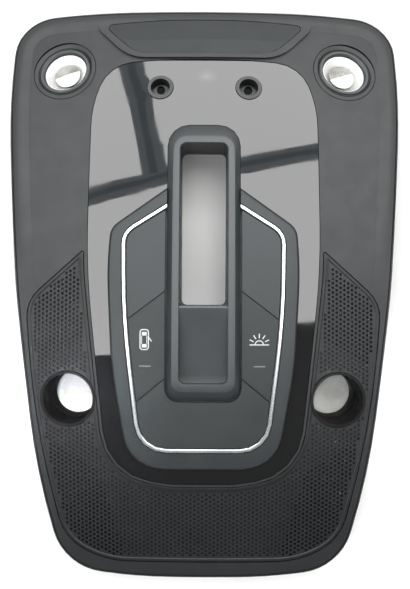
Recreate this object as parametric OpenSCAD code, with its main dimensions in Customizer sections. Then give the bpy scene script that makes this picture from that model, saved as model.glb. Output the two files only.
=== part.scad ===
// Overhead console for a car roof: a domed bezel with two reading lamps, a glossy centre panel,
// a switch unit round a slotted centre rail, a perforated inlay and two open sockets.
// It lies on its back: +Z comes out of the visible face and +Y points to the front of the car.

/* [Console] */
// Length of the bezel, front edge to rear edge
console_l = 297; // [294:0.5:302]
// Width between the side curves of the bezel at their widest
console_w = 206; // [202:0.5:212]
// Depth from the back plane to the top of the centre rail
console_d = 64; // [62:0.5:70]
// Radius of the domed face
face_r = 400; // [390:5:520]
// Distance from the middle of the length to the top of the dome, towards the rear
dome_back = 27.5; // [22:0.5:32]
// Thickness of the bezel's face
bezel_t = 2.5; // [2:0.1:2.8]
// Depth of the bezel's outer skirt below the face
skirt_h = 8; // [6:0.25:8.5]
// Gap between fixed mouldings, seen as a dark line
seam = 0.3; // [0.2:0.05:0.5]

/* [Rim] */
// Width of the rim and its inner slope
rim_w = 10; // [8:0.25:12]
// Height of the rim above the sunken face at the front
rim_rise = 1.6; // [0.8:0.1:2.4]
// Width of the thin outer lip
lip_w = 1.1; // [0.8:0.1:1.6]

/* [Gloss panel] */
// Thickness of the gloss panel
gloss_t = 2.5; // [2:0.1:3]
// Distance of the gloss panel's surface below the face
gloss_drop = 0.4; // [0.2:0.05:0.8]
// Front edge of the gloss panel from the middle of the length
gloss_front = 120.5; // [119:0.25:122]
// Rear edge of the gloss panel from the middle of the length
gloss_rear = 98.5; // [96:0.25:99.5]

/* [Perforated inlay] */
// Thickness of the inlay
inlay_t = 2.2; // [1.8:0.1:2.6]
// Width of the bezel lip between the inlay and the gloss panel
inner_lip = 1.8; // [1.6:0.1:2.4]
// Width of the inlay's plain border
inlay_border = 2.4; // [2:0.1:3.5]
// Distance between neighbouring holes
hole_pitch = 3.9; // [3.6:0.1:4.8]
// Width of a hole across its flats
hole_w = 2.5; // [1.6:0.1:2.8]

/* [Reading lamps] */
// Distance of each lamp from the centre line
lamp_x = 74; // [73:0.25:75]
// Distance of the lamps in front of the middle of the length
lamp_y = 115.5; // [114:0.25:117]
// Radius of the hole that the lamp ring fills
lamp_hole_r = 14; // [13.5:0.1:14.6]
// Radius of the reflector's mouth
reflector_r = 11.3; // [10.5:0.1:11.6]
// Radius of the lens in the middle of the reflector
lens_r = 6.8; // [5:0.1:7.5]
// Angle that the lamp leans further than the face
lamp_lean = 5; // [0:0.5:6]

/* [Fixing screws] */
// Distance between the two fixing screws
screw_spacing = 46; // [44:0.5:50]
// Distance of the fixing screws in front of the middle of the length
screw_y = 105.2; // [104:0.2:106.5]
// Radius of the hole for a fixing screw
screw_hole_r = 2.25; // [2:0.05:2.6]
// Outer radius of the collar
collar_r = 6.7; // [6.2:0.1:7]
// Inner radius of the collar
collar_bore_r = 5; // [4.5:0.1:5.3]

/* [Sockets] */
// Distance of each socket from the centre line
socket_x = 68.5; // [68:0.25:69.5]
// Distance of the sockets behind the middle of the length
socket_y = 55.6; // [54:0.2:57]
// Radius of the socket's upper bore
socket_bore_r = 12.8; // [12.3:0.1:13]
// Radius of the socket's lower bore
socket_low_r = 11.9; // [11:0.1:12.1]
// Height of the step between the two bores above the back plane
socket_step_z = 18; // [12:0.5:26]
// Wall of the socket
socket_wall = 1.2; // [1:0.1:1.4]

/* [Switch unit] */
// Half width of the surround at its widest
surround_w = 48.5; // [48:0.25:49.5]
// Height of the surround above the face
surround_rise = 1.6; // [1.2:0.1:2]
// Width of the bright trim strip
trim_w = 2; // [1.6:0.1:2.2]
// Height of the buttons and blanks above the face
panel_rise = 0.9; // [0.6:0.1:1.2]
// Thickness of the buttons and blanks
panel_t = 2.2; // [1.8:0.1:2.6]
// Gap round a moving button
button_gap = 0.5; // [0.4:0.05:0.6]
// Travel of a button
button_travel = 0.8; // [0.5:0.1:1]

/* [Centre rail] */
// Half width of the rail at its foot
rail_hw = 18.4; // [18:0.1:18.6]
// Height of the rail above the face
rail_rise = 3.2; // [2.6:0.1:4]
// Half width of the slot
slot_hw = 12; // [11.5:0.1:12.3]
// Front end of the slot from the middle of the length
slot_front = 74.6; // [73:0.2:75.5]
// Rear end of the through slot behind the middle of the length
slot_rear = 8.2; // [6:0.2:12]
// Rear end of the finger trough behind the middle of the length
trough_rear = 47.3; // [45:0.2:48]
// Depth of the finger trough at its rear end
trough_depth = 9; // [6:0.25:10]

/* [Housing] */
// Half width of the housing behind the deck
housing_hw = 51; // [49:0.25:52]
// Front end of the housing from the middle of the length
housing_front = 92; // [86:0.5:95]
// Rear end of the housing behind the middle of the length
housing_rear = 96; // [92:0.5:98]
// Wall of the carrier
carrier_t = 2.2; // [1.8:0.1:2.4]
// Thickness of the rear cover
cover_t = 2.5; // [2:0.1:3]
// Height of the circuit board above the back plane
board_z = 42; // [40:0.25:42.5]
// Thickness of the circuit board
board_t = 1.6; // [1.2:0.1:2]

/* [Hidden] */
$fn = 64;

half_l = console_l / 2;
half_w = console_w / 2;
// Height of the face at the top of the dome
face_z = console_d - rail_rise;
// Levels measured from the face along its radius
gloss_z = -gloss_drop;
deck_z = -inlay_t - 1.8;
deck_low = deck_z - carrier_t;
// Steps in a fillet, and in a straight edge that has to follow the dome
fillet_steps = 4;
longest_span = 12;
least_fillet = 0.3;
// Clearance between two curved faces of which one rests on the other
seat = 0.2;
overshoot = 1;

// Outlines: the corners of the right half from front to rear, each [x, y, fillet radius]
OUTLINE = [[half_w - 47, half_l, 588], [half_w - 15, half_l - 2, 24],
    [half_w - 1.5, half_l - 12.5, 21], [half_w, half_l - 49.5, 417],
    [half_w - 7, 0.5, 505], [half_w - 18, 54 - half_l, 420],
    [half_w - 28.5, 14.5 - half_l, 29], [half_w - 42, 3 - half_l, 28],
    [half_w - 69.5, -half_l, 311]];
GLOSS = [[23.5, gloss_front, 300], [50, gloss_front - 2.5, 20], [58.5, gloss_front - 25, 60],
    [59, 10, 400], [48, 5 - gloss_rear, 28], [16.5, -gloss_rear, 39]];
WINDOW = [[24, 143, 403], [53.5, 140.5, 2], [36, 124.3, 18]];
LAND = [[24, 150, 400], [64, 146, 6], [40, 121.8, 22]];
INLAY_OUTER = [[90.5, -6.5, 18], [85, -72, 505], [71, -128.5, 26], [50, -140, 48]];
inlay_tip_y = 20;
SURROUND = [[17.5, 52, 2], [surround_w - 1.5, 31, 9], [surround_w, 10.5, 190],
    [surround_w - 2.5, -40, 195], [surround_w - 10.5, -85.5, 19], [23, -91, 28]];
TRIM = [[17.5, 43, 1], [40.5, 28.5, 10], [40, -14, 430], [32, -81.3, 15]];
RAIL = [[rail_hw, 84.4, 11], [rail_hw, -55.6, 6]];
RAIL_TOP = [[rail_hw - 2.7, 78.6, 7], [rail_hw - 2.4, -51.5, 5]];
OPENING = [[slot_hw, slot_front, 3], [slot_hw, -trough_rear, 3]];
SLOT = [[slot_hw, slot_front, 3], [slot_hw, -slot_rear, 3]];
HOUSING = [[housing_hw, housing_front, 10], [housing_hw, -housing_rear, 16]];
BOARD = [[housing_hw - 4, 46, 4], [housing_hw - 4, -78, 10]];
// Seams between the buttons and blanks on the right: [y at the centre line, slope]
upper_seam = [13.8, -0.76];
lower_seam = [-28.5, -0.837];

// Points along outlines
function xy(p) = [p[0], p[1]];
function unit(v) = v / norm(v);
function both_sides(half) = concat(half,
    [for (i = [len(half) - 1:-1:0]) [-half[i][0], half[i][1], half[i][2]]]);
function next(c, i) = c[(i + 1) % len(c)];
function prev(c, i) = c[(i + len(c) - 1) % len(c)];
function back_way(c, i) = unit(xy(prev(c, i)) - xy(c[i]));
function fore_way(c, i) = unit(xy(next(c, i)) - xy(c[i]));
function turn(c, i) = 180 - acos(max(-1, min(1, back_way(c, i) * fore_way(c, i))));
function reach(c, i) = c[i][2] * tan(turn(c, i) / 2);
// Fillet radius that leaves room for the fillets of the two neighbouring corners
function fitted_r(c, i) = let (n = len(c), a = (i + n - 1) % n, b = (i + 1) % n)
    c[i][2] * min(1, 0.98 * norm(xy(c[a]) - xy(c[i])) / (reach(c, a) + reach(c, i)),
        0.98 * norm(xy(c[b]) - xy(c[i])) / (reach(c, i) + reach(c, b)));
function fillet(c, i) = let (r = fitted_r(c, i), t = turn(c, i),
        a = back_way(c, i), b = fore_way(c, i),
        start = xy(c[i]) + a * r * tan(t / 2), centre = xy(c[i]) + unit(a + b) * r / cos(t / 2),
        from = atan2(start[1] - centre[1], start[0] - centre[0]),
        way = a[0] * b[1] - a[1] * b[0] > 0 ? -1 : 1)
    [for (k = [0:fillet_steps]) let (w = from + way * t * k / fillet_steps)
        centre + r * [cos(w), sin(w)]];
function rounded(c, steps = []) = let (arcs = [for (i = [0:len(c) - 1]) fillet(c, i)])
    [for (i = [0:len(c) - 1]) let (arc = arcs[i], last = arc[fillet_steps],
            to = next(arcs, i)[0], n = len(steps) == 0 ? 1 : steps[i])
        each concat(arc, [for (k = [1:1:n - 1]) last + (to - last) * k / n])];
// Number of steps in each straight edge that lets it follow the dome
function spans(c) = [for (i = [0:len(c) - 1])
    max(1, ceil((norm(xy(next(c, i)) - xy(c[i])) - reach(c, i)
        - reach(c, (i + 1) % len(c))) / longest_span))];
// Corners moved outwards by d with their fillets kept concentric; a negative d moves them inwards
function grow(c, d) = [for (i = [0:len(c) - 1])
    let (a = fore_way(c, i), b = -back_way(c, i), na = [-a[1], a[0]], nb = [-b[1], b[0]],
            q = xy(c[i]) + (na + nb) * d / (1 + na * nb),
            bulge = a[0] * b[1] - a[1] * b[0] > 0 ? 1 : -1)
        [q[0], q[1], max(least_fillet, c[i][2] + bulge * d)]];
function loop(c, d = 0, steps = []) = rounded(grow(c, d), steps);
function inside(q, p) = len([for (i = [0:len(p) - 1]) let (a = p[i], b = next(p, i))
    if ((a[1] > q[1]) != (b[1] > q[1])
        && q[0] < (b[0] - a[0]) * (q[1] - a[1]) / (b[1] - a[1]) + a[0]) 1]) % 2 == 1;

// Height of a surface that runs h above the face
function dome_z(x, y, h = 0) = face_z - face_r
    + sqrt(pow(face_r + h, 2) - x * x - pow(y + dome_back, 2));
function lift(p, h) = [for (q = p) [q[0], q[1], dome_z(q[0], q[1], h)]];
function flat(p, z) = [for (q = p) [q[0], q[1], z]];
function smooth(t) = let (u = max(0, min(1, t))) u * u * (3 - 2 * u);
// The rim stands proud at the front and runs out level with the face beside the inlay
rim_fade_y = [0, 62];
function rim_height(y) = rim_rise * smooth((y - rim_fade_y[0]) / (rim_fade_y[1] - rim_fade_y[0]));
function rim_loop(inset, share, extra) = [for (q = loop(outline, -inset, outline_spans))
    [q[0], q[1], dome_z(q[0], q[1], share * rim_height(q[1]) + extra)]];

// Corners all the way round
outline = both_sides(OUTLINE);
outline_spans = spans(outline);
gloss = both_sides(GLOSS);
window = both_sides(WINDOW);
surround = both_sides(SURROUND);
trim = both_sides(TRIM);
rail = both_sides(RAIL);
rail_top = both_sides(RAIL_TOP);
opening = both_sides(OPENING);
slot = both_sides(SLOT);
housing = both_sides(HOUSING);
board = both_sides(BOARD);

// The inlay is a U: its inner edge follows the gloss panel at the width of the lip
lip = grow(gloss, inner_lip);
inlay_tip = let (a = lip[2], b = lip[3], t = (inlay_tip_y - a[1]) / (b[1] - a[1]))
    [a[0] + (b[0] - a[0]) * t, inlay_tip_y, 2.4];
inlay = concat(both_sides(concat([inlay_tip], INLAY_OUTER)),
    both_sides([for (i = [3:5]) [-lip[i][0], lip[i][1], lip[i][2]]]));

// Solids that follow the dome
module ball(h) {
    translate([0, -dome_back, face_z - face_r]) rotate([90, 0, 0]) sphere(r = face_r + h, $fn = 240);
}
module column() {
    linear_extrude(height = console_d + overshoot) children();
}
// The part of the children's outline between two levels of the face
module slab(low, high) {
    difference() {
        intersection() {
            column() children();
            ball(high);
        }
        ball(low);
    }
}
// Everything over the children's outline above one level
module above(low) {
    difference() {
        column() children();
        ball(low);
    }
}
// Everything under the children's outline up to one level
module below(high, from = 0) {
    intersection() {
        translate([0, 0, from]) column() children();
        ball(high);
    }
}
// A cover with a face plate and a wall round it: its outline, then the outline inside its wall
module moulded(low, high, plate) {
    difference() {
        slab(low, high) children(0);
        below(high - plate) children(1);
    }
}
// A closed ring through loops of points, in order round its section
module ring(loops) {
    n = len(loops[0]);
    m = len(loops);
    polyhedron(points = [for (l = loops) each l],
        faces = [for (j = [0:m - 1], i = [0:n - 1])
            let (a = j * n + i, b = j * n + (i + 1) % n,
                c = ((j + 1) % m) * n + i, d = ((j + 1) % m) * n + (i + 1) % n)
            each [[a, b, d], [a, d, c]]]);
}
// Stands the children on the face with their Z along its radius, leaning further by lean
module on_face(x, y, h = 0, lean = 0) {
    w = atan2(y + dome_back, x);
    t = asin(norm([x, y + dome_back]) / face_r);
    translate([x, y, dome_z(x, y)]) rotate([0, 0, w]) rotate([0, t + lean, 0])
        rotate([0, 0, -w]) translate([0, 0, h]) children();
}
module tube(outer_r, inner_r, low, high) {
    translate([0, 0, low]) difference() {
        cylinder(r = outer_r, h = high - low);
        translate([0, 0, -overshoot]) cylinder(r = inner_r, h = high - low + 2 * overshoot);
    }
}
module bore(r, low, high) {
    translate([0, 0, low]) cylinder(r = r, h = high - low);
}
module left() {
    mirror([1, 0, 0]) children();
}
module each_side() {
    children();
    left() children();
}

// Places of the fastenings on the right side
bezel_screw_sites = [[77, 40], [79, 84]];
board_screw_sites = [[40, 20], [38, -70]];
cover_screw_sites = [[45.2, 82], [45.2, -84]];
clip_sites = [[91.5, 62], [83.5, -36], [73, -96]];
boss_r = 3.5;
thread_r = 1.2;
screw_play = 0.1;

// Bezel
rim_step = 0.08;
rim_lap = 0.6;
module rim() {
    ring([rim_loop(0, 0, -skirt_h), rim_loop(0, 0, -0.4), rim_loop(0.3, 0, rim_step),
        rim_loop(lip_w - 0.2, 0.3, rim_step), rim_loop(lip_w, 0.3, -0.4),
        rim_loop(lip_w + 0.4, 0.6, rim_step), rim_loop(3.4, 1, rim_step),
        rim_loop(5.6, 1, rim_step), rim_loop(rim_w - 2.8, 0.7, rim_step),
        rim_loop(rim_w - 0.8, 0.1, rim_step), rim_loop(rim_w, 0, rim_step),
        rim_loop(rim_w, 0, -bezel_t - rim_step), rim_loop(bezel_t, 0, -bezel_t - rim_step),
        rim_loop(bezel_t - 0.4, 0, -skirt_h)]);
}
module window_land() {
    intersection() {
        slab(-bezel_t, rim_rise - 0.1) polygon(loop(both_sides(LAND)));
        column() polygon(loop(outline, -4));
    }
}
module lamp_opening() {
    on_face(lamp_x, lamp_y, 0, lamp_lean) {
        bore(lamp_hole_r, -12, 6);
        translate([0, 0, -1]) cylinder(r1 = lamp_hole_r, r2 = lamp_hole_r + 3, h = 1.4);
        bore(lamp_hole_r + 3, 0.4, 8);
    }
}
module socket_opening() {
    translate([socket_x, -socket_y, 0]) bore(socket_bore_r + socket_wall + seam, 0, console_d);
}
// The rim, cut away where the inlay and the sockets reach into it
module open_rim() {
    difference() {
        rim();
        column() polygon(loop(inlay, seam));
        each_side() socket_opening();
    }
}
// The sunken face inside the rim, with the tray for the inlay
module face_plate() {
    difference() {
        union() {
            slab(-bezel_t, 0) polygon(loop(outline, rim_lap - rim_w));
            slab(deck_z, 0.1 - bezel_t) polygon(loop(inlay, 3));
            window_land();
            each_side() for (s = bezel_screw_sites)
                on_face(s[0], s[1]) bore(boss_r, deck_z, -bezel_t / 2);
        }
        column() polygon(loop(gloss, seam));
        above(-inlay_t - seat) polygon(loop(inlay, seam));
        each_side() {
            lamp_opening();
            socket_opening();
            on_face(microphone_x, microphone_y) bore(1.5, deck_z - 1, 1);
            for (s = bezel_screw_sites) on_face(s[0], s[1]) bore(thread_r, deck_z - 1, -1);
        }
    }
}
module bezel() {
    color("#5f6365") difference() {
        union() {
            face_plate();
            open_rim();
        }
        column() polygon(loop(window, seam));
    }
}

// Window with its lower facet, and the diffuser behind it
window_rise = rim_rise - 0.2;
window_crease_y = 132.1;
facet_slope = 8;
module facet() {
    pivot = [0, window_crease_y, dome_z(0, window_crease_y, window_rise)];
    translate(pivot) rotate([facet_slope, 0, 0]) translate(-pivot) ball(window_rise);
}
module indicator_window() {
    color("#55595c") intersection() {
        slab(-bezel_t, window_rise) polygon(loop(window));
        facet();
    }
}
module indicator_diffuser() {
    color("white") slab(deck_z + 0.1, -bezel_t - 0.1) polygon(loop(window, -2));
}

// Gloss panel
module gloss_panel() {
    color("#16181a") difference() {
        moulded(deck_z, gloss_z, gloss_t) {
            polygon(loop(gloss));
            polygon(loop(gloss, -1.8));
        }
        column() polygon(loop(surround, seam));
        column() polygon(loop(rail, seam));
        each_side() on_face(screw_spacing / 2, screw_y) bore(collar_r + seam, -12, 6);
    }
}
module screw_collar() {
    color("#4b4e50") on_face(screw_spacing / 2, screw_y) {
        tube(collar_r, collar_bore_r, deck_z + 0.15, 0.1);
        tube(collar_r + 1.8, collar_bore_r, deck_z + 0.15, gloss_z - gloss_t - 0.15);
        tube(collar_r - 0.7, collar_bore_r, deck_low + 0.3, deck_z + 0.2);
    }
}

// Perforated inlay: holes in two zones on each side, mirrored about the centre line
zone_inset = inlay_border + hole_w / 2;
inlay_field = loop(inlay, -zone_inset);
socket_clear = socket_bore_r + socket_wall + hole_w;
function in_upper_zone(q) = q[1] > -24.8 - 0.55 * (q[0] - 59);
function in_lower_zone(q) = q[1] < -75.9 - 0.64 * (78.7 - q[0])
    && q[0] > 52.1 - 0.275 * (-92.9 - q[1]);
function open_hole(q) = (in_upper_zone(q) || in_lower_zone(q)) && inside(q, inlay_field)
    && norm(q - [socket_x, -socket_y]) > socket_clear;
column_pitch = hole_pitch * sqrt(3) / 2;
inlay_holes = [for (i = [floor(40 / column_pitch):ceil(92 / column_pitch)],
        j = [floor(-142 / hole_pitch):ceil(22 / hole_pitch)])
    let (q = [i * column_pitch, (j + (i % 2) / 2) * hole_pitch]) if (open_hole(q)) q];
module hole() {
    circle(r = hole_w / sqrt(3), $fn = 6);
}
module grille_inlay() {
    color("#404446") difference() {
        slab(-inlay_t, -0.2) polygon(loop(inlay));
        above(-0.6) polygon(loop(inlay, -inlay_border + 0.8));
        column() for (q = inlay_holes, x = [-1, 1]) translate([x * q[0], q[1]]) hole();
        each_side() socket_opening();
    }
}

// Sockets: a wide bore, a step and a narrower bore that runs out at the back plane
module socket() {
    color("#202324") translate([socket_x, -socket_y, 0]) difference() {
        union() {
            intersection() {
                bore(socket_bore_r + socket_wall, socket_step_z - 2, console_d);
                translate([-socket_x, socket_y, 0]) ball(0.1);
            }
            bore(socket_low_r + socket_wall, 0, socket_step_z);
            translate([-socket_x, socket_y, 0]) slab(deck_low - 2, deck_low - 0.1)
                translate([socket_x, -socket_y]) circle(r = socket_bore_r + socket_wall + 2);
        }
        bore(socket_low_r, -overshoot, console_d);
        bore(socket_bore_r, socket_step_z, console_d);
        for (w = [0, 118]) rotate([0, 0, w]) translate([socket_bore_r - 1, -2.6, 36])
            cube([socket_wall + 3, 5.2, 1.6]);
    }
}

// Switch unit
module surround_opening() {
    polygon(loop(trim, trim_w / 2 + seam));
}
function surround_loop(inset, h) = lift(loop(surround, -inset, spans(surround)), h);
module switch_surround() {
    color("#63686a") difference() {
        union() {
            ring([surround_loop(0, deck_z + 0.1), surround_loop(0, surround_rise - 0.9),
                surround_loop(0.3, surround_rise - 0.3), surround_loop(0.9, surround_rise + rim_step),
                surround_loop(1.6, surround_rise + rim_step), surround_loop(1.6, deck_z + 0.1)]);
            slab(deck_z + 0.3, surround_rise) polygon(loop(surround, -1));
        }
        column() surround_opening();
        column() polygon(loop(rail, seam));
    }
}
function trim_loop(d, h) = lift(loop(trim, d, spans(trim)), h);
module trim_strip() {
    w = trim_w / 2;
    h = surround_rise + 0.4;
    color("#d5d7da") difference() {
        ring([trim_loop(w, deck_z + 0.1), trim_loop(w, h - 0.5), trim_loop(w - 0.5, h),
            trim_loop(0.5 - w, h), trim_loop(-w, h - 0.5), trim_loop(-w, deck_z + 0.1)]);
        column() polygon(loop(rail, seam));
    }
}
// Field inside the trim and outside the rail, drawn in by inset
module switch_field(inset) {
    difference() {
        polygon(loop(trim, -trim_w / 2 - button_gap - inset));
        polygon(loop(rail, 2 * button_gap + inset));
    }
}
function seam_y(s, x) = s[0] + s[1] * x;
// Extra drop of a seam's edge that is drawn in by d at right angles to it
function seam_step(s, d) = d * sqrt(1 + s[1] * s[1]);
field_end = 60;
module upper_field(inset) {
    d = seam_step(upper_seam, button_gap / 2 + inset);
    intersection() {
        switch_field(inset);
        polygon([[0, seam_y(upper_seam, 0) + d], [field_end, seam_y(upper_seam, field_end) + d],
            [field_end, field_end], [0, field_end]]);
    }
}
module button_field(inset) {
    d = seam_step(upper_seam, button_gap / 2 + inset);
    e = seam_step(lower_seam, button_gap / 2 + inset);
    intersection() {
        switch_field(inset);
        polygon([[0, seam_y(upper_seam, 0) - d], [field_end, seam_y(upper_seam, field_end) - d],
            [field_end, seam_y(lower_seam, field_end) + e], [0, seam_y(lower_seam, 0) + e]]);
    }
}
module lower_field(inset) {
    e = seam_step(lower_seam, button_gap / 2 + inset);
    y = seam_y(lower_seam, field_end) - e;
    intersection() {
        switch_field(inset);
        polygon([[0, seam_y(lower_seam, 0) - e], [field_end, y], [field_end, -2 * field_end],
            [-field_end, -2 * field_end], [-field_end, y]]);
    }
}
panel_wall = 1.4;
module upper_blank() {
    color("#5f6466") moulded(deck_z, panel_rise, panel_t) {
        upper_field(0);
        upper_field(panel_wall);
    }
}
module lower_cover() {
    color("#4c5153") moulded(deck_z, panel_rise, panel_t) {
        lower_field(0);
        lower_field(panel_wall);
    }
}
// Push button with its stem; the walls end above the deck by the travel and a little play
stem_at = [29, -34];
guide_at = [29, -24];
stem_r = 2.2;
switch_body = [6.2, 6.2, 3.4];
actuator_r = 1.7;
actuator_h = 1.6;
switch_top = board_z + board_t + switch_body[2] + actuator_h;
button_play = 0.1;
module push_button() {
    color("#585d5f") union() {
        moulded(deck_z + button_travel + button_play, panel_rise, panel_t) {
            button_field(0);
            button_field(panel_wall);
        }
        below(panel_rise - panel_t / 2, switch_top + button_travel + button_play)
            translate(stem_at) circle(r = stem_r);
    }
}
guide_size = [5, 7];
led_h = 0.8;
module light_guide() {
    color("#dfe6ea")
        below(panel_rise - panel_t - 0.1, board_z + board_t + led_h + button_travel + 0.4)
            translate(guide_at - guide_size / 2) square(guide_size);
}
module push_switch() {
    color("#222222") translate([stem_at[0], stem_at[1], board_z + board_t]) {
        translate([-switch_body[0] / 2, -switch_body[1] / 2, 0]) cube(switch_body);
        bore(actuator_r, switch_body[2] - 0.1, switch_body[2] + actuator_h);
    }
}

// Centre rail: a raised frame round the slot, with a sloping finger trough at its rear
rail_wall = 1.8;
rail_foot_z = 34;
function rail_loop(c, d = 0) = loop(c, d, spans(rail));
module centre_rail() {
    floor_front = [-slot_rear, dome_z(0, -slot_rear, rail_rise) - 0.8];
    floor_rear = [0.5 - trough_rear, dome_z(0, -trough_rear, rail_rise) - trough_depth];
    color("#66696b") union() {
        ring([lift(rail_loop(rail), deck_z + 0.1), lift(rail_loop(rail), gloss_z),
            lift(rail_loop(rail, -0.4), gloss_z + 0.5), lift(rail_loop(rail_top), rail_rise - 0.2),
            lift(rail_loop(rail_top, -0.5), rail_rise), lift(rail_loop(opening, 0.5), rail_rise),
            lift(rail_loop(opening), rail_rise - 0.5), flat(rail_loop(opening), rail_foot_z),
            flat(rail_loop(opening, rail_wall), rail_foot_z),
            lift(rail_loop(opening, rail_wall), deck_z + 0.1)]);
        rotate([90, 0, 90]) linear_extrude(height = 2 * slot_hw + 0.8, center = true)
            polygon([floor_front, [floor_front[0] - 1, floor_front[1] + 0.4],
                [-slot_rear - 4, floor_front[1] - 0.2],
                [floor_rear[0] + 4, floor_rear[1]], floor_rear,
                [floor_rear[0] - 0.8, floor_rear[1]],
                [floor_rear[0] - 0.8, floor_rear[1] - rail_wall],
                [floor_rear[0] + 4, floor_rear[1] - rail_wall],
                [-slot_rear - rail_wall, floor_front[1] - 3], [-slot_rear - rail_wall, rail_foot_z],
                [-slot_rear, rail_foot_z]]);
    }
}

// Reading lamp, in its own frame on the face
module lamp_frame() {
    on_face(lamp_x, lamp_y, 0, lamp_lean) children();
}
reflector_top = -2.2;
reflector_depth = 9;
module lamp_ring() {
    color("#6b6e70") lamp_frame() rotate_extrude() polygon([
        [reflector_r + 0.3, reflector_top - 3], [reflector_r + 0.3, -1.2], [reflector_r + 0.9, -0.5],
        [lamp_hole_r - seam - 0.4, -0.5], [lamp_hole_r - seam, -0.9],
        [lamp_hole_r - seam, reflector_top - 3]]);
}
function bowl(r, k) = [r * k, reflector_top - reflector_depth + reflector_depth * k * k];
bowl_steps = 8;
bowl_neck = 0.45;
module lamp_reflector() {
    steps = [for (i = [0:bowl_steps]) bowl_neck + (1 - bowl_neck) * i / bowl_steps];
    color("white") lamp_frame() rotate_extrude() polygon(concat(
        [for (k = steps) bowl(reflector_r - 0.6, k)],
        [[reflector_r, reflector_top]],
        [for (i = [bowl_steps:-1:0]) bowl(reflector_r - 0.6, steps[i]) + [0.6, -1]]));
}
lens_foot = reflector_top - reflector_depth;
module lamp_lens() {
    color("#e8ecee") lamp_frame() rotate_extrude() polygon([
        [0, lens_foot + 1], [2.4, lens_foot + 1], [4.6, lens_foot + 4.2], [lens_r, lens_foot + 5.6],
        [lens_r, lens_foot + 6.4], [lens_r - 1.2, lens_foot + 7], [4, lens_foot + 7.3],
        [0, lens_foot + 7.5]]);
}
lamp_board_r = 11.6;
lamp_board_top = lens_foot + 0.9;
module lamp_board() {
    color("#1f5a3a") lamp_frame() union() {
        bore(lamp_board_r - 1.6, lamp_board_top - 3.4, lamp_board_top - 2);
        bore(1.6, lamp_board_top - 2.1, lamp_board_top);
    }
}
lamp_cup_r = lamp_hole_r + 1.4;
module lamp_housing() {
    top = reflector_top - 3.1;
    low = lamp_board_top - 7;
    color("#3a3d3f") lamp_frame() rotate_extrude() polygon([
        [0, low], [lamp_cup_r - 2, low], [lamp_cup_r, low + 2], [lamp_cup_r, top],
        [reflector_r + 0.2, top], [reflector_r + 0.2, lamp_board_top - 3.5],
        [lamp_board_r - 2.4, lamp_board_top - 3.5], [lamp_board_r - 2.4, low + 1.8], [0, low + 1.8]]);
}

// Microphones behind the open zones of the inlay
microphone_x = 72;
microphone_y = -14;
microphone_r = 4.8;
module microphone() {
    color("#2b2b2b") on_face(microphone_x, microphone_y) union() {
        bore(microphone_r, deck_z - 6, deck_z - 0.1);
        tube(microphone_r + 1.2, microphone_r - 0.5, deck_z - 8, deck_low - 0.15);
    }
}

// Cup under the deck that takes a fixing screw's head, with its hole to the roof frame
cup_floor_z = dome_z(screw_spacing / 2, screw_y) - 10;
cup_floor_t = 5;
module screw_cup() {
    color("#2a2c2e") translate([screw_spacing / 2, screw_y, 0]) difference() {
        intersection() {
            bore(collar_r + 2.4, cup_floor_z - cup_floor_t, console_d);
            translate([-screw_spacing / 2, -screw_y, 0]) ball(deck_low - seat);
        }
        bore(collar_r + 0.6, cup_floor_z, console_d);
        bore(screw_hole_r, 0, console_d);
    }
}

// Carrier: a domed deck with its board bosses and clip ribs. The deck is seven plates that
// meet edge to edge: the rear one, one on each side of the slot, and four round the screw wells
clip_rib = [1.6, 14, 13];
deck_gap = rail_wall + seam;
deck_side_x = slot_hw + deck_gap;
deck_rear_y = -8;
deck_front_y = slot_front + deck_gap;
deck_reach = console_l;
module deck_openings() {
    column() translate([-deck_side_x, -trough_rear - deck_gap])
        square([2 * deck_side_x, trough_rear + slot_front + 2 * deck_gap]);
    column() translate(stem_at) square([9, 9], center = true);
    column() translate(guide_at) square([9, 10], center = true);
    column() translate([-stem_at[0], stem_at[1]]) square([9, 9], center = true);
    column() translate([-guide_at[0], guide_at[1]]) square([9, 10], center = true);
    each_side() {
        lamp_frame() bore(lamp_cup_r + seam, -25, 10);
        socket_opening();
        on_face(screw_spacing / 2, screw_y) bore(collar_r - 0.4, -9, 0);
        on_face(microphone_x, microphone_y) bore(microphone_r + seam, -14, 0);
        for (s = bezel_screw_sites) on_face(s[0], s[1]) bore(thread_r + screw_play, -14, 0);
    }
}
module boss(site, r, low, high = deck_low + 0.1) {
    below(high, low) translate(site) circle(r = r);
}
module deck(zone) {
    difference() {
        slab(deck_low, deck_z) intersection() {
            polygon(loop(outline, -bezel_t - 3));
            polygon(zone);
        }
        deck_openings();
    }
}
module board_boss(s) {
    difference() {
        boss(s, boss_r, board_z + board_t);
        translate([s[0], s[1], board_z + board_t - overshoot]) cylinder(r = thread_r, h = 7);
    }
}
module clip_wall(s) {
    below(deck_low + 0.1, dome_z(s[0], s[1], deck_low) - clip_rib[2])
        translate(s) square([clip_rib[0], clip_rib[1]], center = true);
}
module carrier() {
    color("#2a2c2e") union() {
        deck([[-deck_reach, -deck_reach], [deck_reach, -deck_reach],
            [deck_reach, deck_rear_y], [-deck_reach, deck_rear_y]]);
        each_side() {
            board_boss(board_screw_sites[1]);
            clip_wall(clip_sites[1]);
            clip_wall(clip_sites[2]);
        }
    }
}
module deck_side() {
    color("#2a2c2e") union() {
        deck([[deck_side_x, deck_rear_y], [deck_reach, deck_rear_y], [deck_reach, screw_y],
            [screw_spacing / 2, screw_y], [screw_spacing / 2, deck_front_y],
            [deck_side_x, deck_front_y]]);
        board_boss(board_screw_sites[0]);
        clip_wall(clip_sites[0]);
    }
}
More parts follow.
